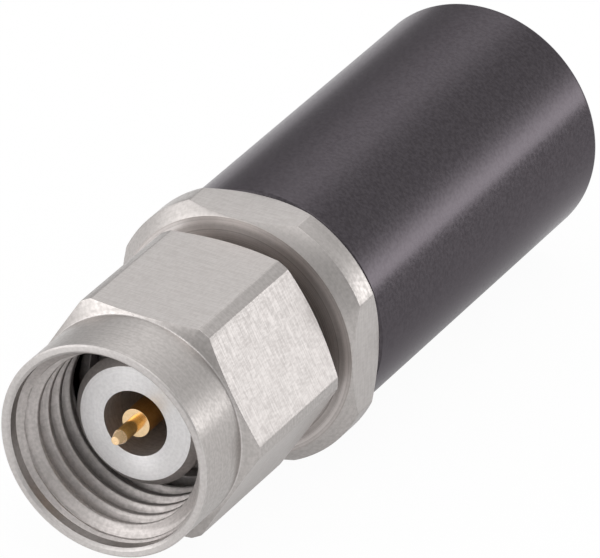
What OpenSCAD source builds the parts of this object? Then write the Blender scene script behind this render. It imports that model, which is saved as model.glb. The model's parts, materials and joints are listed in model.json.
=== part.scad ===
// Mismatch termination with a male 2.4 mm coaxial connector, lying on its side.
// The origin is on the axis at the mating plane. The mating end faces -Y and the closed end +Y.
// Depths along the axis are counted from the mating plane towards the closed end.

/* [Mating interface] */
// Bore of the outer conductor, which sets the air line
bore_d = 2.4; // [2.2:0.05:2.8]
// Diameter of the centre conductor
line_d = 1.042; // [0.96:0.002:1.16]
// Diameter of the male pin
pin_d = 0.511; // [0.42:0.001:0.6]
// Flat on the end of the male pin
pin_flat_d = 0.3; // [0.2:0.01:0.4]
// Length of the male pin from its shoulder to its flat
pin_l = 1.43; // [1.1:0.01:1.8]
// Length of the pin's tapered nose
pin_nose_l = 0.36; // [0.2:0.01:0.6]
// Distance of the pin's shoulder behind the mating plane
pin_recess = 0.03; // [0.01:0.01:0.1]
// Outer diameter of the flat mating face
face_d = 4.2; // [3.8:0.05:4.4]
// Outer diameter of the outer conductor behind its chamfer
pilot_d = 4.75; // [4.6:0.05:5]

/* [Coupling nut] */
// Overall length of the nut
nut_l = 8.55; // [8.2:0.05:10]
// Distance of the nut's rim ahead of the mating plane
nut_reach = 2.25; // [1.9:0.05:2.5]
// Width across the hexagon's flats
nut_af = 8; // [7.9:0.05:8.4]
// Turned diameter that trims the hexagon's corners
nut_od = 9; // [8.8:0.05:9.2]
// Turn of the hexagon from level, in degrees
nut_turn = -1.8; // [-30:0.1:30]
// Diameter of the round collar in front of the hexagon
collar_d = 7.8; // [7.75:0.05:7.85]
// Length of the round collar
collar_l = 2.47; // [2:0.01:2.8]
// Chamfer on the collar's front rim
collar_chamfer = 0.05; // [0.02:0.01:0.1]
// Radius of the fillet between the collar and the hexagon
collar_fillet = 0.13; // [0.05:0.01:0.13]
// Length of the cone from the collar to the hexagon's front corners
front_chamfer_l = 0.18; // [0.1:0.02:0.4]
// Diameter of the nut's flat rear face
back_face_d = 7.9; // [7.6:0.05:7.9]
// Length of the chamfer on the hexagon's rear corners
back_chamfer_l = 0.3; // [0.2:0.05:0.5]
// Diameter of the smooth counterbore in front of the thread
mouth_d = 7.14; // [7.1:0.02:7.4]
// Depth of the counterbore from the rim
mouth_l = 0.46; // [0.3:0.02:0.6]
// Chamfer on the inner edge of the rim
rim_chamfer = 0.1; // [0.04:0.01:0.12]
// Outer diameter of the internal thread
thread_d = 7; // [6.9:0.05:7.05]
// Depth from the rim to the end of the thread
thread_l = 3.95; // [3.4:0.05:4.1]
// Diameter of the relief groove behind the thread
relief_d = 7.3; // [7.15:0.05:7.5]
// Width of the relief groove
relief_w = 0.75; // [0.6:0.05:1.1]
// Bore of the nut behind the relief groove
nut_bore_d = 6.2; // [5.95:0.05:6.35]
// Chamfer on the rear mouth of the nut's bore
nut_bore_chamfer = 0.15; // [0.05:0.05:0.3]

/* [Nut retaining ring] */
// Thickness of the split ring
ring_w = 0.45; // [0.35:0.05:0.5]
// Radial width of the split ring
ring_radial = 0.64; // [0.54:0.02:0.72]
// Depth of the ring's groove in the nut, beyond the nut's bore
ring_seat_depth = 0.35; // [0.25:0.05:0.4]
// Distance from the ring's groove to the back of the nut
ring_back = 2.2; // [1.7:0.05:2.5]
// Gap between the split ring's ends
ring_gap = 0.9; // [0.5:0.1:1.6]
// Clearance round the ring in the nut's groove
ring_clearance = 0.035; // [0.02:0.005:0.06]
// Travel of the nut along the axis to each side of its middle position
nut_float = 0.15; // [0.05:0.01:0.25]

/* [Connector body] */
// Running clearance between the nut's bore and the neck, on the radius
neck_clearance = 0.07; // [0.03:0.01:0.1]
// Depth of the neck's groove for the split ring, measured on the radius
neck_groove_depth = 0.58; // [0.45:0.01:0.65]
// Distance of the neck's front end behind the relief groove
neck_setback = 0.35; // [0.2:0.05:0.5]
// Chamfer on the neck's front end
neck_chamfer = 0.15; // [0.05:0.01:0.2]
// Gap between the nut and the flange
flange_gap = 0.77; // [0.4:0.01:1.5]
// Diameter of the flange
flange_d = 9.9; // [9.6:0.05:10.4]
// Width across the flange's four wrench flats
flange_af = 9; // [8.8:0.05:9.3]
// Width of the flange along the axis
flange_w = 1.98; // [1.7:0.02:3]
// Chamfer on the flange's front edge
flange_front_chamfer = 0.48; // [0.3:0.02:0.6]
// Chamfer on the flange's rear edge
flange_back_chamfer = 0.5; // [0.3:0.02:0.6]
// Length of the threaded spigot
spigot_l = 5; // [3:0.5:8]
// Step from the spigot down to the load tube behind it, on the radius
tube_step = 0.6; // [0.4:0.05:0.8]
// Wall of the load tube
tube_wall = 0.7; // [0.5:0.05:0.9]
// Distance from the flange's front face to the load's bore
cavity_setback = 0.93; // [0.5:0.01:1.5]

/* [Air line] */
// Diameter of the outer conductor's spigot in the neck
seat_d = 3.9; // [3.5:0.05:4]
// Length of the outer conductor's spigot in the neck
seat_l = 1.45; // [1:0.05:1.8]
// Width of the insulating bead
bead_w = 1.2; // [0.8:0.05:1.5]
// Diameter of the pin's threaded stud through the bead
stud_d = 0.6; // [0.5:0.02:0.7]
// Length of the stud behind the bead
stud_grip = 0.6; // [0.3:0.05:0.9]
// Clearance between pieces that are assembled for good, on the radius
assembly_clearance = 0.01; // [0.005:0.005:0.02]

/* [Load] */
// Diameter of the ceramic resistor rod
rod_d = 0.9; // [0.8:0.01:0.92]
// Length of the ceramic resistor rod
rod_l = 8.1; // [6:0.1:9]
// Length of each end cap on the rod
cap_l = 0.8; // [0.5:0.05:1]
// End wall of each cap
cap_wall = 0.3; // [0.2:0.05:0.4]
// Diameter of the front cap's contact pin
cap_pin_d = 0.48; // [0.4:0.01:0.56]
// Length of the front cap's contact pin
cap_pin_l = 0.9; // [0.6:0.05:1]
// Width of the slots in the contact socket
slot_w = 0.12; // [0.06:0.01:0.2]
// Length of the slots in the contact socket
slot_l = 0.9; // [0.5:0.05:1.1]
// Bore of the load's sleeve where its taper ends
taper_end_d = 1.5; // [1.3:0.05:2]
// Length of the sleeve's rear wall round the rear cap
sleeve_wall = 1; // [0.8:0.05:1.3]
// Thickness of the grounding disc
disc_w = 1.2; // [0.8:0.1:2]
// Thickness of a disc spring
spring_w = 0.2; // [0.15:0.01:0.3]
// Rise of a disc spring's cone
spring_rise = 0.15; // [0.1:0.01:0.2]
// Hole in the disc springs and the thrust washer
spring_hole_d = 2.4; // [2:0.1:3]
// Thickness of the thrust washer
washer_w = 0.5; // [0.3:0.05:0.8]
// Length of the adjusting screw
screw_l = 1.2; // [0.8:0.1:1.6]
// Width of the adjusting screw's slot
screw_slot_w = 0.8; // [0.4:0.1:1]
// Depth of the adjusting screw's slot
screw_slot_depth = 0.6; // [0.3:0.05:0.7]
// Length of the lock ring
lock_l = 0.8; // [0.5:0.1:1.2]
// Hole in the lock ring
lock_hole_d = 3; // [2:0.1:3.6]

/* [Housing] */
// Diameter of the housing
housing_d = 9.15; // [9.1:0.05:9.4]
// Length of the housing
housing_l = 16.65; // [16.3:0.05:20]
// Wall of the housing round the spigot
housing_side_wall = 0.655; // [0.5:0.005:0.8]
// End wall of the housing
housing_end_wall = 1.5; // [1:0.1:1.8]
// Chamfer on the housing's front edge
housing_front_chamfer = 0.08; // [0.04:0.01:0.15]
// Radius of the housing's rear edge
housing_back_radius = 0.3; // [0.1:0.05:0.6]
// Room round the load tube inside the housing, on the radius
housing_room = 0.3; // [0.2:0.05:0.5]

/* [Hidden] */
STEEL = "silver";
GOLD = "goldenrod";
BRASS = "burlywood";
$fn = 96;
past = 0.5;

// Depths of the nut's features
nut_front = -nut_reach;
nut_back = nut_l - nut_reach;
hex_front = nut_front + collar_l;
fillet_steps = 3;
thread_end = nut_front + thread_l;
relief_end = thread_end + relief_w;
ring_seat_w = ring_w + 2 * ring_clearance;
ring_seat_back = nut_back - ring_back;
ring_seat_front = ring_seat_back - ring_seat_w;
ring_front = ring_seat_front + ring_clearance;
ring_back_face = ring_front + ring_w;
ring_r = nut_bore_d / 2 + ring_seat_depth - ring_clearance;

// Depths and radii of the connector body
neck_r = nut_bore_d / 2 - neck_clearance;
neck_front = relief_end + neck_setback;
neck_groove_front = ring_front - nut_float;
neck_groove_back = ring_back_face + nut_float;
neck_groove_r = neck_r - neck_groove_depth;
flange_front = nut_back + flange_gap;
flange_back = flange_front + flange_w;
flange_face_r = flange_d / 2 - flange_front_chamfer;
flange_back_r = flange_d / 2 - flange_back_chamfer;
housing_r = housing_d / 2;
spigot_room = housing_r - housing_side_wall;
spigot_r = spigot_room - 2 * assembly_clearance;
tube_r = spigot_r - tube_step;
cavity_r = tube_r - tube_wall;
cavity_front = flange_front + cavity_setback;

// Depths and radii of the air line
bead_front = neck_front + seat_l;
bead_back = bead_front + bead_w;
seat_r = seat_d / 2;
line_r = line_d / 2;

// Depths and radii of the load, from the front cap to the lock ring
tip_room = 0.1;
spring_count = 4;
tube_lip = 0.5;
cap_front = cavity_front + cap_pin_l + tip_room;
rod_front = cap_front + cap_wall;
rod_back = rod_front + rod_l;
rear_cap_back = rod_back + cap_wall;
sleeve_back = rear_cap_back + cap_wall;
sleeve_r = cavity_r - 3 * assembly_clearance;
disc_back = sleeve_back + disc_w;
spring_pitch = spring_w + spring_rise;
springs_back = disc_back + spring_count * spring_pitch;
washer_back = springs_back + washer_w;
screw_back = washer_back + screw_l;
lock_back = screw_back + lock_l;
tube_back = lock_back + tube_lip;

// Depths of the housing's hollow
spigot_back = flange_back + spigot_l;
thread_runout = 0.5;
housing_step = spigot_back + thread_runout;
housing_back = flange_back + housing_l;

// A turned piece from a profile of [radius, depth] points
module turned(profile) {
    rotate([-90, 0, 0])
        rotate_extrude()
            polygon(profile);
}

// A plain tube or disc between two radii and two depths
module ring(inner_r, outer_r, front, back) {
    turned([[inner_r, front], [outer_r, front], [outer_r, back], [inner_r, back]]);
}

// Coupling nut: a hexagon with turned corners, a round collar and the threaded mouth
module coupling_nut() {
    color(STEEL)
        difference() {
            intersection() {
                nut_blank();
                rotate([-90, 0, 0])
                    rotate([0, 0, -nut_turn])
                        translate([0, 0, nut_front - past])
                            cylinder(h = nut_l + 2 * past, d = nut_af / cos(30), $fn = 6);
            }
            nut_hollow();
        }
}

// The nut's turned outside, before the flats of the hexagon are cut
module nut_blank() {
    collar_r = collar_d / 2;
    cone = atan(front_chamfer_l / (nut_od / 2 - collar_r));
    fillet_front = hex_front - collar_fillet * tan((90 - cone) / 2);
    turned(concat(
        [
            [0, nut_front],
            [collar_r - collar_chamfer, nut_front],
            [collar_r, nut_front + collar_chamfer]
        ],
        [for (step = [0 : fillet_steps])
            let (turn = (90 - cone) * step / fillet_steps)
                [collar_r + collar_fillet * (1 - cos(turn)), fillet_front + collar_fillet * sin(turn)]],
        [
            [nut_od / 2, hex_front + front_chamfer_l],
            [nut_od / 2, nut_back - back_chamfer_l],
            [back_face_d / 2, nut_back],
            [0, nut_back]
        ]
    ));
}

// The nut's hollow: counterbore, thread, relief groove, bore and ring groove
module nut_hollow() {
    mouth_r = mouth_d / 2;
    thread_r = thread_d / 2;
    mouth_end = nut_front + mouth_l;
    bore_r = nut_bore_d / 2;
    seat = bore_r + ring_seat_depth;
    turned([
        [0, nut_front - past],
        [mouth_r + rim_chamfer, nut_front - past],
        [mouth_r + rim_chamfer, nut_front],
        [mouth_r, nut_front + rim_chamfer],
        [mouth_r, mouth_end],
        [thread_r, mouth_end + mouth_r - thread_r],
        [thread_r, thread_end],
        [relief_d / 2, thread_end],
        [relief_d / 2, relief_end],
        [bore_r, relief_end],
        [bore_r, ring_seat_front],
        [seat, ring_seat_front],
        [seat, ring_seat_back],
        [bore_r, ring_seat_back],
        [bore_r, nut_back - nut_bore_chamfer],
        [bore_r + nut_bore_chamfer, nut_back],
        [bore_r + nut_bore_chamfer, nut_back + past],
        [0, nut_back + past]
    ]);
}

// Split ring that sits in the nut's groove and is caught in the wider groove of the neck
module nut_retaining_ring() {
    color(BRASS)
        difference() {
            ring(ring_r - ring_radial, ring_r, ring_front, ring_back_face);
            translate([0, (ring_front + ring_back_face) / 2, ring_r - ring_radial / 2])
                cube([ring_gap, ring_w + 2 * past, 2 * ring_radial], center = true);
        }
}

// Outer conductor: mating face, chamfer, pilot and the spigot that holds it in the neck
module outer_conductor() {
    color(STEEL)
        turned([
            [bore_d / 2, 0],
            [face_d / 2, 0],
            [pilot_d / 2, (pilot_d - face_d) / 2],
            [pilot_d / 2, neck_front],
            [seat_r - assembly_clearance, neck_front],
            [seat_r - assembly_clearance, bead_front],
            [bore_d / 2, bead_front]
        ]);
}

// Centre conductor with its male pin, and the stud that passes through the bead
module centre_pin() {
    tip = pin_recess - pin_l;
    color(GOLD)
        turned([
            [0, tip],
            [pin_flat_d / 2, tip],
            [pin_d / 2, tip + pin_nose_l],
            [pin_d / 2, pin_recess],
            [line_r, pin_recess],
            [line_r, bead_front],
            [stud_d / 2, bead_front],
            [stud_d / 2, bead_back + stud_grip],
            [0, bead_back + stud_grip]
        ]);
}

// Insulating bead that holds the centre conductor on the axis
module support_bead() {
    color("ivory")
        ring(stud_d / 2 + assembly_clearance, seat_r - assembly_clearance, bead_front, bead_back);
}

// Rear centre conductor, screwed on the stud, with a slotted socket for the load
module rear_conductor() {
    socket_front = cap_front - cap_pin_l - tip_room;
    color(GOLD)
        difference() {
            ring(0, line_r, bead_back, cap_front);
            ring(0, stud_d / 2 + assembly_clearance, bead_back - past, bead_back + stud_grip + tip_room);
            ring(0, cap_pin_d / 2 + assembly_clearance, socket_front, cap_front + past);
            for (turn = [0, 90])
                rotate([0, turn, 0])
                    translate([-line_d, cap_front - slot_l, -slot_w / 2])
                        cube([2 * line_d, slot_l + past, slot_w]);
        }
}

// Connector body: neck, flange with four wrench flats, threaded spigot and load tube
module connector_body() {
    color(STEEL)
        difference() {
            turned([
                [seat_r, neck_front],
                [neck_r - neck_chamfer, neck_front],
                [neck_r, neck_front + neck_chamfer],
                [neck_r, neck_groove_front],
                [neck_groove_r, neck_groove_front],
                [neck_groove_r, neck_groove_back],
                [neck_r, neck_groove_back],
                [neck_r, flange_front],
                [flange_face_r, flange_front],
                [flange_d / 2, flange_front + flange_front_chamfer],
                [flange_d / 2, flange_back - flange_back_chamfer],
                [flange_back_r, flange_back],
                [spigot_r, flange_back],
                [spigot_r, spigot_back],
                [tube_r, spigot_back],
                [tube_r, tube_back],
                [cavity_r, tube_back],
                [cavity_r, cavity_front],
                [bore_d / 2, cavity_front],
                [bore_d / 2, bead_back],
                [seat_r, bead_back]
            ]);
            for (turn = [0 : 90 : 270])
                rotate([0, turn, 0])
                    translate([-flange_d, flange_front - past, flange_af / 2])
                        cube([2 * flange_d, flange_w + past, flange_d]);
        }
}

// Load sleeve: its bore tapers from the air line down to the rear cap
module load_sleeve() {
    cap_r = line_r + assembly_clearance;
    color(BRASS)
        turned([
            [bore_d / 2, cavity_front],
            [sleeve_r, cavity_front],
            [sleeve_r, sleeve_back],
            [cap_r, sleeve_back],
            [cap_r, sleeve_back - sleeve_wall],
            [taper_end_d / 2, sleeve_back - sleeve_wall],
            [bore_d / 2, cap_front]
        ]);
}

module resistor_rod() {
    color("white")
        ring(0, rod_d / 2, rod_front, rod_back);
}

// End cap of the rod: a cup from the depth of its face towards the rod
module resistor_cap(face, direction) {
    wall = face + direction * cap_wall;
    end = face + direction * cap_l;
    hole_r = rod_d / 2 + assembly_clearance;
    turned([[0, face], [line_r, face], [line_r, end], [hole_r, end], [hole_r, wall], [0, wall]]);
}

module resistor_front_cap() {
    color(BRASS)
        union() {
            resistor_cap(cap_front, 1);
            ring(0, cap_pin_d / 2, cap_front - cap_pin_l, cap_front + cap_wall / 2);
        }
}

module resistor_rear_cap() {
    color(BRASS)
        resistor_cap(rear_cap_back, -1);
}

// Grounding disc with a boss that presses on the rear cap
module grounding_disc() {
    color(BRASS)
        turned([
            [0, rear_cap_back],
            [line_r, rear_cap_back],
            [line_r, sleeve_back],
            [sleeve_r, sleeve_back],
            [sleeve_r, disc_back],
            [0, disc_back]
        ]);
}

// Disc spring: every second one is turned over, so that the cones work in series
module disc_spring(index) {
    front = disc_back + index * spring_pitch;
    hole_r = spring_hole_d / 2;
    inner_rise = index % 2 == 0 ? 0 : spring_rise;
    outer_rise = spring_rise - inner_rise;
    color(STEEL)
        turned([
            [hole_r, front + inner_rise],
            [sleeve_r, front + outer_rise],
            [sleeve_r, front + outer_rise + spring_w],
            [hole_r, front + inner_rise + spring_w]
        ]);
}

module thrust_washer() {
    color(STEEL)
        ring(spring_hole_d / 2, sleeve_r, springs_back, washer_back);
}

module adjusting_screw() {
    color(STEEL)
        difference() {
            ring(0, sleeve_r, washer_back, screw_back);
            translate([-2 * cavity_r, screw_back - screw_slot_depth, -screw_slot_w / 2])
                cube([4 * cavity_r, screw_slot_depth + past, screw_slot_w]);
        }
}

module lock_ring() {
    color(STEEL)
        ring(lock_hole_d / 2, sleeve_r, screw_back, lock_back);
}

// Housing: a deep cup screwed on the spigot, with its closed end at the back
module housing() {
    tube_room = tube_r + housing_room;
    edge = housing_back_radius;
    color([0.28, 0.26, 0.28])
        turned(concat(
            [
                [spigot_room, flange_back],
                [housing_r - housing_front_chamfer, flange_back],
                [housing_r, flange_back + housing_front_chamfer]
            ],
            [for (turn = [0 : 22.5 : 90])
                [housing_r - edge + edge * cos(turn), housing_back - edge + edge * sin(turn)]],
            [
                [0, housing_back],
                [0, housing_back - housing_end_wall],
                [tube_room, housing_back - housing_end_wall],
                [tube_room, housing_step],
                [spigot_room, housing_step]
            ]
        ));
}

coupling_nut();
nut_retaining_ring();
outer_conductor();
centre_pin();
support_bead();
rear_conductor();
connector_body();
load_sleeve();
resistor_rod();
resistor_front_cap();
resistor_rear_cap();
grounding_disc();
disc_spring(0);  // disc_spring_1
disc_spring(1);  // disc_spring_2
disc_spring(2);  // disc_spring_3
disc_spring(3);  // disc_spring_4
thrust_washer();
adjusting_screw();
lock_ring();
housing();
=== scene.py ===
"""Looks of the mismatch termination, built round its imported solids."""
import json
import math

import bmesh
import bpy
import numpy as np
from mathutils import Matrix, Vector


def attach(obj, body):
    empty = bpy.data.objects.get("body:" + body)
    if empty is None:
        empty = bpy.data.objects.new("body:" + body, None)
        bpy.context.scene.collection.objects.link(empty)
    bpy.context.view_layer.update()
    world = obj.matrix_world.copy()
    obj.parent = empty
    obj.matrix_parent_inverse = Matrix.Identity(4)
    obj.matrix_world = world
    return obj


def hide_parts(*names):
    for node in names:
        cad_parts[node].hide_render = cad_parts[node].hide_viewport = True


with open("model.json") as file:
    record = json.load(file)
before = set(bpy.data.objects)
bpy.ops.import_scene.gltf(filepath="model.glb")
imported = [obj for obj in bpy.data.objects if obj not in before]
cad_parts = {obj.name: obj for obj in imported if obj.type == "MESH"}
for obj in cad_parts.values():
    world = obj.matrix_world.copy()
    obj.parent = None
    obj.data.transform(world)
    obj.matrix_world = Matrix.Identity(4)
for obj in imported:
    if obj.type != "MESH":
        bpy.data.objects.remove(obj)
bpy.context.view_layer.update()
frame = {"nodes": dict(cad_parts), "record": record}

# Lengths are in millimetres and are turned into metres when a mesh is made.
MM = 0.001

# Columns of a turned mesh: degrees between them, and the extra ones beside each edge of a flat
COLUMN_STEP = 1.5
PIN_COLUMN_STEP = 3
EDGE_COLUMNS = (-1, -0.5, -0.25, 0, 0.25, 0.5, 1)
COLUMN_GAP = 0.2

# Size of the broken edge where a flat meets the round beside it
BROKEN_EDGE = 0.005

# Steps of a rounding, fewer where it is small
SMALL_ROUNDING = 0.1
FEW_STEPS = 3
MORE_STEPS = 8

# Camera, found from the circles of the photograph
CAMERA_PLACE = (131.066, -239.597, 149.324)
CAMERA_BACK = (0.40907, -0.78456, 0.46597)
CAMERA_RIGHT = (0.8842, 0.467, 0.01007)
LENS = 559.03
SENSOR = 36
CLIP_START = 0.01
CLIP_END = 10

# Outside of the coupling nut: depths and radii of its turned outline, and its hexagon
NUT_FRONT = -2.25
NUT_BACK = 6.3
NUT_FLATS = [28.2 + 60 * k for k in range(6)]
NUT_FLAT_H = 4.0
NUT_R = 4.5
COLLAR_R = 3.9
COLLAR_BREAK = 0.05
HEX_FRONT = 0.22
HEX_CONE_L = 0.18
HEX_FILLET = 0.05
BACK_FACE_R = 3.95
BACK_CONE_L = 0.3

# Mouth in front of the thread: chamfered rim, smooth counterbore and the 45 degree cone that leads in
RIM_CHAMFER = 0.1
MOUTH_R = 3.57
MOUTH_END = -1.79

# Inside of the coupling nut: thread, relief groove, bore for the neck and seat of the split ring
THREAD_R = 3.5
CONE_END = MOUTH_END + MOUTH_R - THREAD_R
THREAD_END = 1.7
RELIEF_R = 3.65
RELIEF_END = 2.45
NUT_BORE_R = 3.1
NUT_BORE_CHAMFER = 0.15
RING_SEAT_R = 3.45
RING_SEAT_FRONT = 3.58
RING_SEAT_BACK = 4.1

# Where the nut's painted light ends: the paler steel of its inside, and the paler faced steel on the fillet
# beside the collar, which paints a highlight along it
INSIDE_R = 3.75
INSIDE_BACK = 6
FILLET_REACH = 0.045
OFF_COLLAR = 0.0005

# Ridge of the thread: pitch, crest and flanks, how deep its foot lies in the nut, and the degrees it turns
PITCH = 0.75
CREST_R = 3.095
CREST_HALF = 0.094
BASE_HALF = 0.328
CREST_ROUNDING = 0.015
RIDGE_DEPTH_AT_225 = 0.35
RIDGE_FOOT = 0.005
RIDGE_MARGIN = 0.02
RIDGE_POINTS = 37
RIDGE_TURNS = np.arange(-600, 1400, 3)

# Neck of the connector body. Its groove is 0.005 wider on each side than the solid's, so that at the ends
# of nut_float the faces of the ring and the groove don't lie in one plane.
NECK_FRONT = 2.8
NECK_CHAMFER_R = 2.88
NECK_CHAMFER_BACK = 2.95
NECK_R = 3.03
GROOVE_R = 2.45
GROOVE_FRONT = 3.46
GROOVE_BACK = 4.22

# Flange of the connector body
FLANGE_FLATS = [0, 90, 180, 270]
FLANGE_FLAT_H = 4.5
FLANGE_R = 4.95
FLANGE_FRONT = 7.07
FLANGE_FACE_R = 4.47
FLANGE_BACK = 9.05
FLANGE_BACK_R = 4.45

# Tube behind the flange, which carries the housing, and the hollow inside the connector body
HOUSING_SEAT_R = 3.9
HOUSING_SEAT_BACK = 14.05
LOAD_TUBE_R = 3.3
LOAD_TUBE_BACK = 23.6
CAVITY_R = 2.6
CAVITY_FRONT = 8
SPIGOT_SEAT_R = 1.95
SPIGOT_SEAT_BACK = 5.45

# Outer conductor: air line, mating face, pilot and the spigot in the body, the rounding of its edges, and
# where the finish of its face ends
AIR_LINE_R = 1.2
FACE_R = 2.1
FACE_CHAMFER_BACK = 0.275
PILOT_R = 2.375
SPIGOT_R = 1.93
SPIGOT_BACK = 4.25
LINE_EDGE = 0.012
BEHIND_FACE = 0.02

# Centre conductor: nose, pin, shoulder, and the thinner end behind
PIN_TIP = -1.4
PIN_TIP_R = 0.15
PIN_NOSE_END = -1.04
PIN_R = 0.2555
NOSE_ROUNDING = 0.03
SHOULDER_FRONT = 0.03
CONDUCTOR_R = 0.521
CONDUCTOR_BACK = 4.25
REAR_END_R = 0.3
REAR_END_BACK = 6.05

# Where the pin's painted light begins and ends: the paler nose, the paler shoulder that paints its
# highlight, and the darker side behind it that paints its shade
NOSE_PAINTED_LIGHT_BACK = PIN_NOSE_END + 0.005
SHOULDER_PAINTED_HIGHLIGHT_BACK = 0.1
SIDE_PAINTED_SHADE_R = 0.5
SIDE_PAINTED_SHADE_FRONT = 0.05

# Housing
HOUSING_R = 4.575
HOUSING_CHAMFER_R = 4.495
HOUSING_CHAMFER_BACK = 9.13
HOUSING_BACK = 25.7
HOUSING_BACK_ROUNDING = 0.3
HOUSING_BORE_R = 3.92
HOUSING_BORE_BACK = 14.55
HOUSING_HOLLOW_R = 3.6
HOUSING_HOLLOW_BACK = 24.2

# Places of the finishes in the list of materials of a steel piece. The inner, lapped and faced ones are
# also paler steel that paints light.
MILLED = 1
INNER_PAINTED_LIGHT = 2
LAPPED_AND_PAINTED_LIGHT = 3
FACED_AND_PAINTED_LIGHT = 4
RINGED = 5

# Places of the painted light and shade in the list of materials of the centre pin
PIN_NOSE_PAINTED_LIGHT = 1
PIN_SHOULDER_PAINTED_HIGHLIGHT = 2
PIN_SIDE_PAINTED_SHADE = 3

# How nearly a mesh face must look the way of a flat or forward, and how near it must lie to a flat or face
SAME_WAY = 0.9999
FORWARD = -0.9
ROUGHLY_FORWARD = -0.5
FACE_REACH = 0.01

# Vertices nearer than this, in metres, are one
SAME_PLACE = 1e-8

# Tool marks: how often they vary in a millimetre, and the detail of the noise that makes them
MILLED_LINES = (1.6, 22, 1.6)
MILLED_SPECKS = (15, 4, 15)
TURNED_RINGS = 12.0
TURNED_SPECKS = 8.0
NOISE_DETAIL = 3.0

# Where in its noise a finish turns from dark to light or from glossy to dull, how far its roughness goes
# each way, and the right angle that its sheen is turned by
MARKS = (0.4, 0.6)
MOTTLE = (0.35, 0.65)
MOTTLE_GLOSS = (0.3, 0.7)
ROUGHNESS_SPREAD = 0.04
QUARTER_TURN = 0.25


def unit(vector):
    return vector / np.linalg.norm(vector)


def rounded(corners):
    """Outline of [radius, depth] points from (radius, depth, rounding) corners of a closed profile."""
    points = []
    for index, (radius, depth, size) in enumerate(corners):
        here = np.array((radius, depth), float)
        if not size:
            points.append(here)
            continue
        before = unit(np.array(corners[index - 1][:2], float) - here)
        after = unit(np.array(corners[(index + 1) % len(corners)][:2], float) - here)
        half = math.acos(np.clip(before @ after, -1, 1)) / 2
        centre = here + unit(before + after) * size / math.sin(half)
        start = here + before * size / math.tan(half) - centre
        end = here + after * size / math.tan(half) - centre
        turn = math.pi - 2 * half
        steps = FEW_STEPS if size < SMALL_ROUNDING else MORE_STEPS
        for step in np.linspace(0, 1, steps + 1):
            arc = math.sin((1 - step) * turn) * start + math.sin(step * turn) * end
            points.append(centre + arc / math.sin(turn))
    return np.array(points)


def add_object(name, data):
    made = bpy.data.objects.new(name, data)
    bpy.context.scene.collection.objects.link(made)
    return made


def finish_mesh(name, vertices, faces, sharp=40, merge=True):
    """Object from vertices in millimetres, its faces outwards and shaded smooth between sharp edges."""
    mesh = bpy.data.meshes.new(name)
    mesh.from_pydata((np.asarray(vertices) * MM).tolist(), [], faces)
    bm = bmesh.new()
    bm.from_mesh(mesh)
    if merge:
        bmesh.ops.remove_doubles(bm, verts=bm.verts, dist=SAME_PLACE)
    bmesh.ops.recalc_face_normals(bm, faces=bm.faces)
    bm.to_mesh(mesh)
    bm.free()
    mesh.shade_smooth()
    mesh.set_sharp_from_angle(angle=math.radians(sharp))
    return add_object(name, mesh)


def revolve(name, angles, sections):
    """Closed surface whose column at each angle has the given section of [radius, depth] points."""
    sections = np.array(sections)
    turn = np.radians(np.array(angles))[:, None]
    radius, depth = sections[..., 0], sections[..., 1]
    vertices = np.stack([radius * np.cos(turn), depth, radius * np.sin(turn)], -1).reshape(-1, 3)
    columns, count = radius.shape
    faces = []
    for column in range(columns):
        beside = (column + 1) % columns
        for point in range(count):
            below = (point + 1) % count
            faces.append((column * count + point, column * count + below,
                          beside * count + below, beside * count + point))
    piece = finish_mesh(name, vertices, faces)
    weighted = piece.modifiers.new("even shading", "WEIGHTED_NORMAL")
    weighted.keep_sharp = True
    return piece


def turned(name, corners, step=COLUMN_STEP):
    """Plain turned piece."""
    angles = np.arange(0, 360, step)
    return revolve(name, angles, [rounded(corners)] * len(angles))


def outline_radius(angle, flats, height, radius):
    """Radius of a round bar of that radius with flats milled at that height, and slightly broken edges."""
    off = min(abs((angle - flat + 180) % 360 - 180) for flat in flats)
    flat_r = height / math.cos(math.radians(off))
    low, high = sorted((flat_r, radius))
    return low - BROKEN_EDGE * math.log1p(math.exp(-(high - low) / BROKEN_EDGE))


def flatted_angles(flats, height, radius):
    """Column angles: even ones, with more of them round the edges of the flats."""
    corner = math.degrees(math.acos(height / radius))
    extra = [flat + side * corner + shift for flat in flats for side in (-1, 1) for shift in EDGE_COLUMNS]
    even = [a for a in np.arange(0, 360, COLUMN_STEP)
            if min(abs((a - e + 180) % 360 - 180) for e in extra) > COLUMN_GAP]
    return sorted(a % 360 for a in even + extra)


def mark_flats(piece, flats, height):
    """Gives the milled finish to the faces that look the way of a flat and lie in it."""
    normals = [np.array((math.cos(math.radians(a)), 0, math.sin(math.radians(a)))) for a in flats]
    for face in piece.data.polygons:
        normal, centre = np.array(face.normal), np.array(face.center) / MM
        if any(normal @ n > SAME_WAY and abs(centre @ n - height) < FACE_REACH for n in normals):
            face.material_index = MILLED


def paint(piece, finish_or_painted_light, chosen):
    """Gives a finish, or painted light or shade, to the faces that the test picks by normal, radius and
    depth.
    """
    for face in piece.data.polygons:
        x, depth, z = np.array(face.center) / MM
        if chosen(face.normal, math.hypot(x, z), depth):
            face.material_index = finish_or_painted_light


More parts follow.
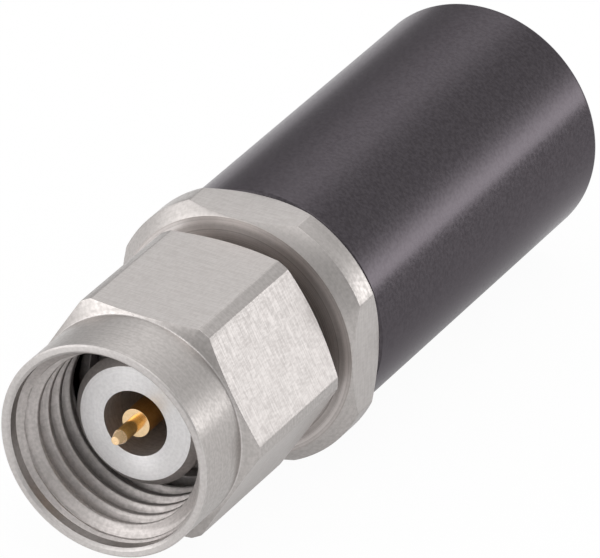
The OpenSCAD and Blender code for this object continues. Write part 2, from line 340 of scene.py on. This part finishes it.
def make_nut():
    def section(angle):
        outer = outline_radius(angle, NUT_FLATS, NUT_FLAT_H, NUT_R)
        front = HEX_FRONT + HEX_CONE_L * (outer - COLLAR_R) / (NUT_R - COLLAR_R)
        back = NUT_BACK - BACK_CONE_L * (outer - BACK_FACE_R) / (NUT_R - BACK_FACE_R)
        return rounded([
            (MOUTH_R + RIM_CHAMFER, NUT_FRONT, 0.01),
            (COLLAR_R - COLLAR_BREAK, NUT_FRONT, 0.02),
            (COLLAR_R, NUT_FRONT + COLLAR_BREAK, 0.02),
            (COLLAR_R, HEX_FRONT, HEX_FILLET),
            (outer, front, 0.02),
            (outer, back, 0.02),
            (BACK_FACE_R, NUT_BACK, 0.02),
            (NUT_BORE_R + NUT_BORE_CHAMFER, NUT_BACK, 0.02),
            (NUT_BORE_R, NUT_BACK - NUT_BORE_CHAMFER, 0),
            (NUT_BORE_R, RING_SEAT_BACK, 0),
            (RING_SEAT_R, RING_SEAT_BACK, 0),
            (RING_SEAT_R, RING_SEAT_FRONT, 0),
            (NUT_BORE_R, RING_SEAT_FRONT, 0),
            (NUT_BORE_R, RELIEF_END, 0.03),
            (RELIEF_R, RELIEF_END, 0.05),
            (RELIEF_R, THREAD_END, 0.05),
            (THREAD_R, THREAD_END, 0),
            (THREAD_R, CONE_END, 0),
            (MOUTH_R, MOUTH_END, 0.01),
            (MOUTH_R, NUT_FRONT + RIM_CHAMFER, 0.01)])

    angles = flatted_angles(NUT_FLATS, NUT_FLAT_H, NUT_R)
    piece = revolve("nut_shell", angles, [section(a) for a in angles])
    mark_flats(piece, NUT_FLATS, NUT_FLAT_H)
    # The paler steel given to the inside paints light into the shade of the hollow.
    paint(piece, INNER_PAINTED_LIGHT, lambda normal, radius, depth: radius < INSIDE_R and MOUTH_END < depth < INSIDE_BACK)
    # The rim gets the paler faced steel: faced marks with painted light.
    paint(piece, FACED_AND_PAINTED_LIGHT, lambda normal, radius, depth: depth < NUT_FRONT + RIM_CHAMFER)
    # The fillet beside the collar gets the paler faced steel: a painted highlight along it.
    paint(piece, FACED_AND_PAINTED_LIGHT, lambda normal, radius, depth:
          abs(depth - HEX_FRONT) < FILLET_REACH and OFF_COLLAR < radius - COLLAR_R < FILLET_REACH)
    return piece


def make_thread():
    """Helical ridge of the nut's thread, cut back by the lead-in cone and by the relief groove."""
    bed = THREAD_R + RIDGE_FOOT
    reach = BASE_HALF + RIDGE_MARGIN
    across = np.linspace(-reach, reach, RIDGE_POINTS)
    past_crest = np.abs(across) - CREST_HALF
    past_crest = (past_crest + np.sqrt(past_crest ** 2 + CREST_ROUNDING ** 2)) / 2
    radii = np.minimum(CREST_R + past_crest * (THREAD_R - CREST_R) / (BASE_HALF - CREST_HALF), bed)
    vertices = []
    for turn in RIDGE_TURNS:
        depth = RIDGE_DEPTH_AT_225 - PITCH * (turn - 225) / 360 + across
        depth = np.clip(depth, CONE_END, THREAD_END)
        radius = np.minimum(np.maximum(radii, THREAD_R - (depth - CONE_END)), bed)
        angle = math.radians(turn)
        ends = [(bed + RIDGE_MARGIN, depth[-1]), (bed + RIDGE_MARGIN, depth[0])]
        for r, t in list(zip(radius, depth)) + ends:
            vertices.append((r * math.cos(angle), t, r * math.sin(angle)))
    count = RIDGE_POINTS + 2
    faces = [(c * count + p, c * count + (p + 1) % count,
              (c + 1) * count + (p + 1) % count, (c + 1) * count + p)
             for c in range(len(RIDGE_TURNS) - 1) for p in range(count)]
    piece = finish_mesh("nut_thread", vertices, faces, sharp=60, merge=False)
    # The ridge gets the paler inner steel, which paints light into the shade of the thread.
    paint(piece, INNER_PAINTED_LIGHT, lambda normal, radius, depth: True)
    return piece


def make_flange_body():
    def section(angle):
        outer = outline_radius(angle, FLANGE_FLATS, FLANGE_FLAT_H, FLANGE_R)
        front = FLANGE_FRONT + outer - FLANGE_FACE_R
        back = FLANGE_BACK - outer + FLANGE_BACK_R
        return rounded([
            (SPIGOT_SEAT_R, NECK_FRONT, 0),
            (NECK_CHAMFER_R, NECK_FRONT, 0),
            (NECK_R, NECK_CHAMFER_BACK, 0),
            (NECK_R, GROOVE_FRONT, 0),
            (GROOVE_R, GROOVE_FRONT, 0),
            (GROOVE_R, GROOVE_BACK, 0),
            (NECK_R, GROOVE_BACK, 0),
            (NECK_R, FLANGE_FRONT, 0.05),
            (FLANGE_FACE_R, FLANGE_FRONT, 0.015),
            (outer, front, 0.02),
            (outer, back, 0.02),
            (FLANGE_BACK_R, FLANGE_BACK, 0.015),
            (HOUSING_SEAT_R, FLANGE_BACK, 0),
            (HOUSING_SEAT_R, HOUSING_SEAT_BACK, 0),
            (LOAD_TUBE_R, HOUSING_SEAT_BACK, 0),
            (LOAD_TUBE_R, LOAD_TUBE_BACK, 0),
            (CAVITY_R, LOAD_TUBE_BACK, 0),
            (CAVITY_R, CAVITY_FRONT, 0),
            (AIR_LINE_R, CAVITY_FRONT, 0),
            (AIR_LINE_R, SPIGOT_SEAT_BACK, 0),
            (SPIGOT_SEAT_R, SPIGOT_SEAT_BACK, 0)])

    angles = flatted_angles(FLANGE_FLATS, FLANGE_FLAT_H, FLANGE_R)
    piece = revolve("flange_body", angles, [section(a) for a in angles])
    mark_flats(piece, FLANGE_FLATS, FLANGE_FLAT_H)
    paint(piece, RINGED, lambda normal, radius, depth:
          radius < FLANGE_FACE_R and depth < FLANGE_FRONT + FACE_REACH)
    # The neck's front gets the paler faced steel: faced marks with painted light.
    paint(piece, FACED_AND_PAINTED_LIGHT, lambda normal, radius, depth: depth < NECK_CHAMFER_BACK)
    return piece


def make_outer_conductor():
    piece = turned("front_tube", [
        (AIR_LINE_R, 0, LINE_EDGE),
        (FACE_R, 0, LINE_EDGE),
        (PILOT_R, FACE_CHAMFER_BACK, LINE_EDGE),
        (PILOT_R, NECK_FRONT, 0),
        (SPIGOT_R, NECK_FRONT, 0),
        (SPIGOT_R, SPIGOT_BACK, 0),
        (AIR_LINE_R, SPIGOT_BACK, 0)])
    # The paler inner steel on the pilot and the bore behind the face paints light into their shade.
    paint(piece, INNER_PAINTED_LIGHT, lambda normal, radius, depth: depth > BEHIND_FACE)
    # The mating face gets the lapped steel, whose paleness is partly painted light.
    paint(piece, LAPPED_AND_PAINTED_LIGHT, lambda normal, radius, depth: depth < BEHIND_FACE and normal.y < FORWARD)
    return piece


def make_centre_pin():
    piece = turned("pin", [
        (0, PIN_TIP, 0),
        (PIN_TIP_R, PIN_TIP, NOSE_ROUNDING),
        (PIN_R, PIN_NOSE_END, NOSE_ROUNDING),
        (PIN_R, SHOULDER_FRONT, 0),
        (CONDUCTOR_R, SHOULDER_FRONT, LINE_EDGE),
        (CONDUCTOR_R, CONDUCTOR_BACK, 0),
        (REAR_END_R, CONDUCTOR_BACK, 0),
        (REAR_END_R, REAR_END_BACK, 0),
        (0, REAR_END_BACK, 0)], step=PIN_COLUMN_STEP)
    # The nose gets paler, partly diffuse gold: painted light.
    paint(piece, PIN_NOSE_PAINTED_LIGHT, lambda normal, radius, depth: depth < NOSE_PAINTED_LIGHT_BACK)
    # The shoulder's front gets paler gold: a painted highlight.
    paint(piece, PIN_SHOULDER_PAINTED_HIGHLIGHT, lambda normal, radius, depth:
          normal.y < ROUGHLY_FORWARD and 0 < depth < SHOULDER_PAINTED_HIGHLIGHT_BACK)
    # The side behind the shoulder gets darker gold: painted shade.
    paint(piece, PIN_SIDE_PAINTED_SHADE, lambda normal, radius, depth:
          radius > SIDE_PAINTED_SHADE_R and depth > SIDE_PAINTED_SHADE_FRONT)
    return piece


def make_housing():
    return turned("housing_shell", [
        (HOUSING_BORE_R, FLANGE_BACK, 0),
        (HOUSING_CHAMFER_R, FLANGE_BACK, 0.02),
        (HOUSING_R, HOUSING_CHAMFER_BACK, 0.02),
        (HOUSING_R, HOUSING_BACK, HOUSING_BACK_ROUNDING),
        (0, HOUSING_BACK, 0),
        (0, HOUSING_HOLLOW_BACK, 0),
        (HOUSING_HOLLOW_R, HOUSING_HOLLOW_BACK, 0),
        (HOUSING_HOLLOW_R, HOUSING_BORE_BACK, 0),
        (HOUSING_BORE_R, HOUSING_BORE_BACK, 0)])


class Graph:
    """Node tree of a material or world, with short calls for the nodes used here."""

    def __init__(self, tree):
        self.tree = tree
        tree.nodes.clear()

    def node(self, kind, inputs=None, **settings):
        made = self.tree.nodes.new(kind)
        for key, value in settings.items():
            setattr(made, key, value)
        for key, value in (inputs or {}).items():
            if isinstance(value, bpy.types.NodeSocket):
                self.tree.links.new(value, made.inputs[key])
            else:
                made.inputs[key].default_value = value
        return made

    def math(self, operation, a, b=0.0):
        return self.node("ShaderNodeMath", {0: a, 1: b}, operation=operation).outputs[0]

    def scaled(self, vector, factors):
        return self.node("ShaderNodeVectorMath", {0: vector, 1: factors}, operation="MULTIPLY").outputs[0]

    def measure(self, operation, a, b=(0, 0, 0)):
        """Number that a vector operation gives."""
        return self.node("ShaderNodeVectorMath", {0: a, 1: b}, operation=operation).outputs["Value"]

    def span(self, value, limits, to_low, to_high):
        """Value taken from between the limits to between two others, and held there."""
        inputs = {"Value": value, "From Min": limits[0], "From Max": limits[1],
                  "To Min": to_low, "To Max": to_high}
        return self.node("ShaderNodeMapRange", inputs).outputs[0]

    def noise(self, vector, scale):
        inputs = {"Vector": vector, "Scale": scale, "Detail": NOISE_DETAIL}
        return self.node("ShaderNodeTexNoise", inputs).outputs["Fac"]

    def bump(self, height, distance):
        inputs = {"Height": height, "Distance": distance * MM, "Strength": 1.0}
        return self.node("ShaderNodeBump", inputs).outputs[0]

    def mixed(self, factor, dark, light):
        """Colour between two, by a factor from 0 to 1."""
        made = self.node("ShaderNodeMix", {"Factor": factor}, data_type="RGBA")
        made.inputs[6].default_value = (*dark, 1)
        made.inputs[7].default_value = (*light, 1)
        return made.outputs[2]

    def place(self):
        """Position in the piece, in millimetres."""
        return self.scaled(self.node("ShaderNodeTexCoord").outputs["Object"], (1 / MM,) * 3)


def new_material(name):
    material = bpy.data.materials.new(name)
    material.use_nodes = True
    return material, Graph(material.node_tree)


def grain(graph, where, milled, line_share):
    """Tool marks: rings and specks on a turned face, or a weave of short lines on a milled flat."""
    if milled:
        lines = graph.noise(graph.scaled(where, MILLED_LINES), 1.0)
        specks = graph.noise(graph.scaled(where, MILLED_SPECKS), 1.0)
    else:
        depth = graph.node("ShaderNodeSeparateXYZ", {0: where}).outputs[1]
        radius = graph.measure("LENGTH", graph.scaled(where, (1, 0, 1)))
        rings = graph.node("ShaderNodeCombineXYZ", {0: radius, 1: depth}).outputs[0]
        lines = graph.noise(rings, TURNED_RINGS)
        specks = graph.noise(where, TURNED_SPECKS)
    lines = graph.math("MULTIPLY", lines, line_share)
    specks = graph.math("MULTIPLY", specks, 1 - line_share)
    return graph.math("ADD", lines, specks)


def metal(name, dark, light, roughness, anisotropic, bump, milled=False, metallic=1.0, line_share=0.4):
    """Machined or plated metal with its tool marks, their height in millimetres."""
    material, graph = new_material(name)
    marks = grain(graph, graph.place(), milled, line_share)
    shader = graph.node("ShaderNodeBsdfPrincipled", {
        "Base Color": graph.mixed(graph.span(marks, MARKS, 0, 1), dark, light),
        "Metallic": metallic,
        "Roughness": graph.span(marks, MARKS, roughness + ROUGHNESS_SPREAD, roughness - ROUGHNESS_SPREAD),
        "Anisotropic": anisotropic,
        "Anisotropic Rotation": QUARTER_TURN,
        "Tangent": graph.node("ShaderNodeTangent", direction_type="RADIAL", axis="Y").outputs[0],
        "Normal": graph.bump(marks, bump),
    })
    graph.node("ShaderNodeOutputMaterial", {"Surface": shader.outputs[0]})
    return material


def coated(name, dark, light, roughness, fine, bump, metallic=0.0, edge=(1, 1, 1)):
    """Anodised layer, ceramic or plastic, with fine mottling. edge tints what it mirrors at a low angle."""
    material, graph = new_material(name)
    mottle = graph.noise(graph.place(), fine)
    rough = graph.span(mottle, MOTTLE_GLOSS, roughness - ROUGHNESS_SPREAD, roughness + ROUGHNESS_SPREAD)
    shader = graph.node("ShaderNodeBsdfPrincipled", {
        "Base Color": graph.mixed(graph.span(mottle, MOTTLE, 0, 1), dark, light),
        "Roughness": rough,
        "Metallic": metallic,
        "Specular Tint": (*edge, 1),
        "Normal": graph.bump(mottle, bump),
    })
    graph.node("ShaderNodeOutputMaterial", {"Surface": shader.outputs[0]})
    return material


# Finishes of each material slot. The first is the slot's own, and the others are for chosen faces.
# The inner, lapped and faced steel and the gold of the nose, shoulder and side are paler or darker copies
# that paint light and shade.
# Each has its dark and light colour, roughness, then anisotropy or mottles in a millimetre, and bump.
FINISHES_AND_PAINTED_LIGHT = {
    "stainless_steel": [
        metal("stainless_turned", (0.43, 0.405, 0.39), (0.505, 0.475, 0.46), 0.32, 0.5, 0.0015),
        metal("stainless_milled", (0.51, 0.48, 0.465), (0.57, 0.54, 0.525), 0.42, 0.4, 0.0013,
              milled=True, line_share=0.6),
        # Paler, partly diffuse steel of the inside: painted light that lifts the shade of the hollows.
        metal("stainless_inner_painted_light", (0.45, 0.42, 0.405), (0.56, 0.52, 0.505), 0.42, 0.3, 0.0015, metallic=0.7),
        # Lapped steel of the mating face, paler than steel can be: lapped marks, with painted light in its
        # colour.
        metal("stainless_lapped_painted_light", (0.74, 0.725, 0.725), (0.81, 0.795, 0.795), 0.42, 0.8, 0.001,
              metallic=0.8),
        # Faced steel, paler than the turned: its faced marks are real, its lighter colour is painted light,
        # and on the fillet a painted highlight.
        metal("stainless_faced_painted_light", (0.545, 0.515, 0.50), (0.615, 0.585, 0.57), 0.4, 0.8, 0.001, metallic=0.9),
        metal("stainless_ringed", (0.47, 0.43, 0.41), (0.76, 0.71, 0.69), 0.36, 0.5, 0.004, line_share=0.9),
    ],
    "gold_plating": [
        metal("gold_plating", (0.90, 0.53, 0.16), (0.95, 0.59, 0.20), 0.18, 0.3, 0.0001, metallic=0.8),
        # Paler, partly diffuse gold of the nose: painted light.
        metal("gold_nose_painted_light", (0.92, 0.64, 0.36), (0.97, 0.69, 0.40), 0.25, 0.3, 0.0001, metallic=0.3),
        # Paler gold of the shoulder's front: a painted highlight.
        metal("gold_shoulder_painted_highlight", (0.80, 0.58, 0.335), (0.86, 0.63, 0.375), 0.2, 0.5, 0.0001),
        # Darker gold of the side behind the shoulder: painted shade.
        metal("gold_side_painted_shade", (0.84, 0.46, 0.13), (0.90, 0.52, 0.17), 0.18, 0.3, 0.0001),
    ],
    "bronze": [metal("bronze", (0.50, 0.33, 0.16), (0.62, 0.43, 0.22), 0.32, 0.3, 0.001)],
    "plated_brass": [metal("plated_brass", (0.55, 0.52, 0.44), (0.66, 0.62, 0.54), 0.28, 0.3, 0.001)],
    "spring_steel": [metal("spring_steel", (0.30, 0.30, 0.31), (0.40, 0.40, 0.41), 0.35, 0.3, 0.001)],
    "black_anodised": [
        coated("black_anodised", (0.062, 0.055, 0.061), (0.086, 0.077, 0.085), 0.22, 8.0, 0.0012,
               metallic=1.0, edge=(0.71, 0.69, 0.71)),
    ],
    "insulator": [coated("insulator", (0.78, 0.74, 0.62), (0.86, 0.82, 0.71), 0.5, 12.0, 0.002)],
    "ceramic": [coated("ceramic", (0.80, 0.79, 0.76), (0.88, 0.87, 0.84), 0.45, 25.0, 0.001)],
}


def dress(piece, slot, body, *nodes):
    """Gives a new piece its finishes and painted light and its body, and hides the solids that it stands
    for.
    """
    for finish_or_painted_light in FINISHES_AND_PAINTED_LIGHT[slot]:
        piece.data.materials.append(finish_or_painted_light)
    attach(piece, body)
    if nodes:
        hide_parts(*nodes)


dress(make_nut(), "stainless_steel", "nut", "coupling_nut")
dress(make_thread(), "stainless_steel", "nut")
dress(make_flange_body(), "stainless_steel", "termination", "connector_body")
dress(make_outer_conductor(), "stainless_steel", "termination", "outer_conductor")
dress(make_centre_pin(), "gold_plating", "termination", "centre_pin")
dress(make_housing(), "black_anodised", "termination", "housing")

for part in frame["record"]["subparts"]:
    solid = frame["nodes"][part["node"]]
    solid.data.materials.clear()
    solid.data.materials.append(FINISHES_AND_PAINTED_LIGHT[part["material_slot"]][0])


# Soft light all round: azimuth from +Y towards +X, elevation, sharpness and strength of each glow
BASE_LIGHT = 0.51
GLOWS = [
    (38, 1, 25, 0.9),
    (38, 3, 60, 2.5),
    (30, 25, 15, 0.2),
    (-12, 36, 60, 0.65),
    (-27, 28, 60, 0.3),
    (-22, 32, 15, 0.1),
    (-100, 20, 6, 0.58),
    (-102, 24, 40, 0.6),
    (-138, 5, 12, 1.2),
    (-142, 22, 15, 1.45),
    (122, 3, 12, 0.25),
    (0, 65, 6, 0.38),
    (110, 72, 20, 1.8),
    (0, 90, 8, 0.5),
]


def light_world():
    world = bpy.data.worlds.new("studio")
    world.use_nodes = True
    bpy.context.scene.world = world
    graph = Graph(world.node_tree)
    direction = graph.node("ShaderNodeTexCoord").outputs["Generated"]
    total = BASE_LIGHT
    for azimuth, elevation, sharpness, strength in GLOWS:
        a, e = math.radians(azimuth), math.radians(elevation)
        towards = (math.sin(a) * math.cos(e), math.cos(a) * math.cos(e), math.sin(e))
        off = graph.math("SUBTRACT", graph.measure("DOT_PRODUCT", direction, towards), 1.0)
        fall = graph.math("EXPONENT", graph.math("MULTIPLY", off, sharpness))
        total = graph.math("ADD", total, graph.math("MULTIPLY", fall, strength))
    background = graph.node("ShaderNodeBackground", {"Color": (1, 1, 1, 1), "Strength": total})
    graph.node("ShaderNodeOutputWorld", {"Surface": background.outputs[0]})


# Floor: half its width, the grey of its paper, and how much plain white the camera sees in it, and mirrors
# and glass. The rest is the lit paper with the object's shadow.
FLOOR_HALF = 1500
PAPER = 0.9
WHITE_TO_CAMERA = 0.96
WHITE_TO_MIRRORS = 0.5


def make_floor():
    """Pale floor under the object, nearly white to the camera and with a faint shadow left."""
    mesh = bpy.data.meshes.new("floor")
    corners = [(x * FLOOR_HALF, y * FLOOR_HALF, -HOUSING_R)
               for x, y in ((-1, -1), (1, -1), (1, 1), (-1, 1))]
    mesh.from_pydata((np.array(corners) * MM).tolist(), [], [(0, 1, 2, 3)])
    floor = add_object("floor", mesh)
    material, graph = new_material("floor_paper")
    rays = graph.node("ShaderNodeLightPath").outputs
    mirrored = graph.math("ADD", rays["Is Glossy Ray"], rays["Is Transmission Ray"])
    shown = graph.math("ADD", graph.math("MULTIPLY", rays["Is Camera Ray"], WHITE_TO_CAMERA),
                       graph.math("MULTIPLY", mirrored, WHITE_TO_MIRRORS))
    paper = graph.node("ShaderNodeBsdfDiffuse", {"Color": (PAPER, PAPER, PAPER, 1)})
    white = graph.node("ShaderNodeEmission", {"Color": (1, 1, 1, 1), "Strength": 1.0})
    mix = graph.node("ShaderNodeMixShader", {0: shown, 1: paper.outputs[0], 2: white.outputs[0]})
    graph.node("ShaderNodeOutputMaterial", {"Surface": mix.outputs[0]})
    mesh.materials.append(material)


def make_camera():
    data = bpy.data.cameras.new("camera")
    data.lens = LENS
    data.sensor_width = SENSOR
    data.clip_start = CLIP_START
    data.clip_end = CLIP_END
    camera = add_object("camera", data)
    back = Vector(CAMERA_BACK).normalized()
    up = back.cross(Vector(CAMERA_RIGHT)).normalized()
    right = up.cross(back)
    turn = Matrix((right, up, back)).transposed().to_4x4()
    camera.matrix_world = Matrix.Translation(Vector(CAMERA_PLACE) * MM) @ turn
    bpy.context.scene.camera = camera


light_world()
make_floor()
make_camera()
bpy.context.scene.view_settings.view_transform = "Standard"
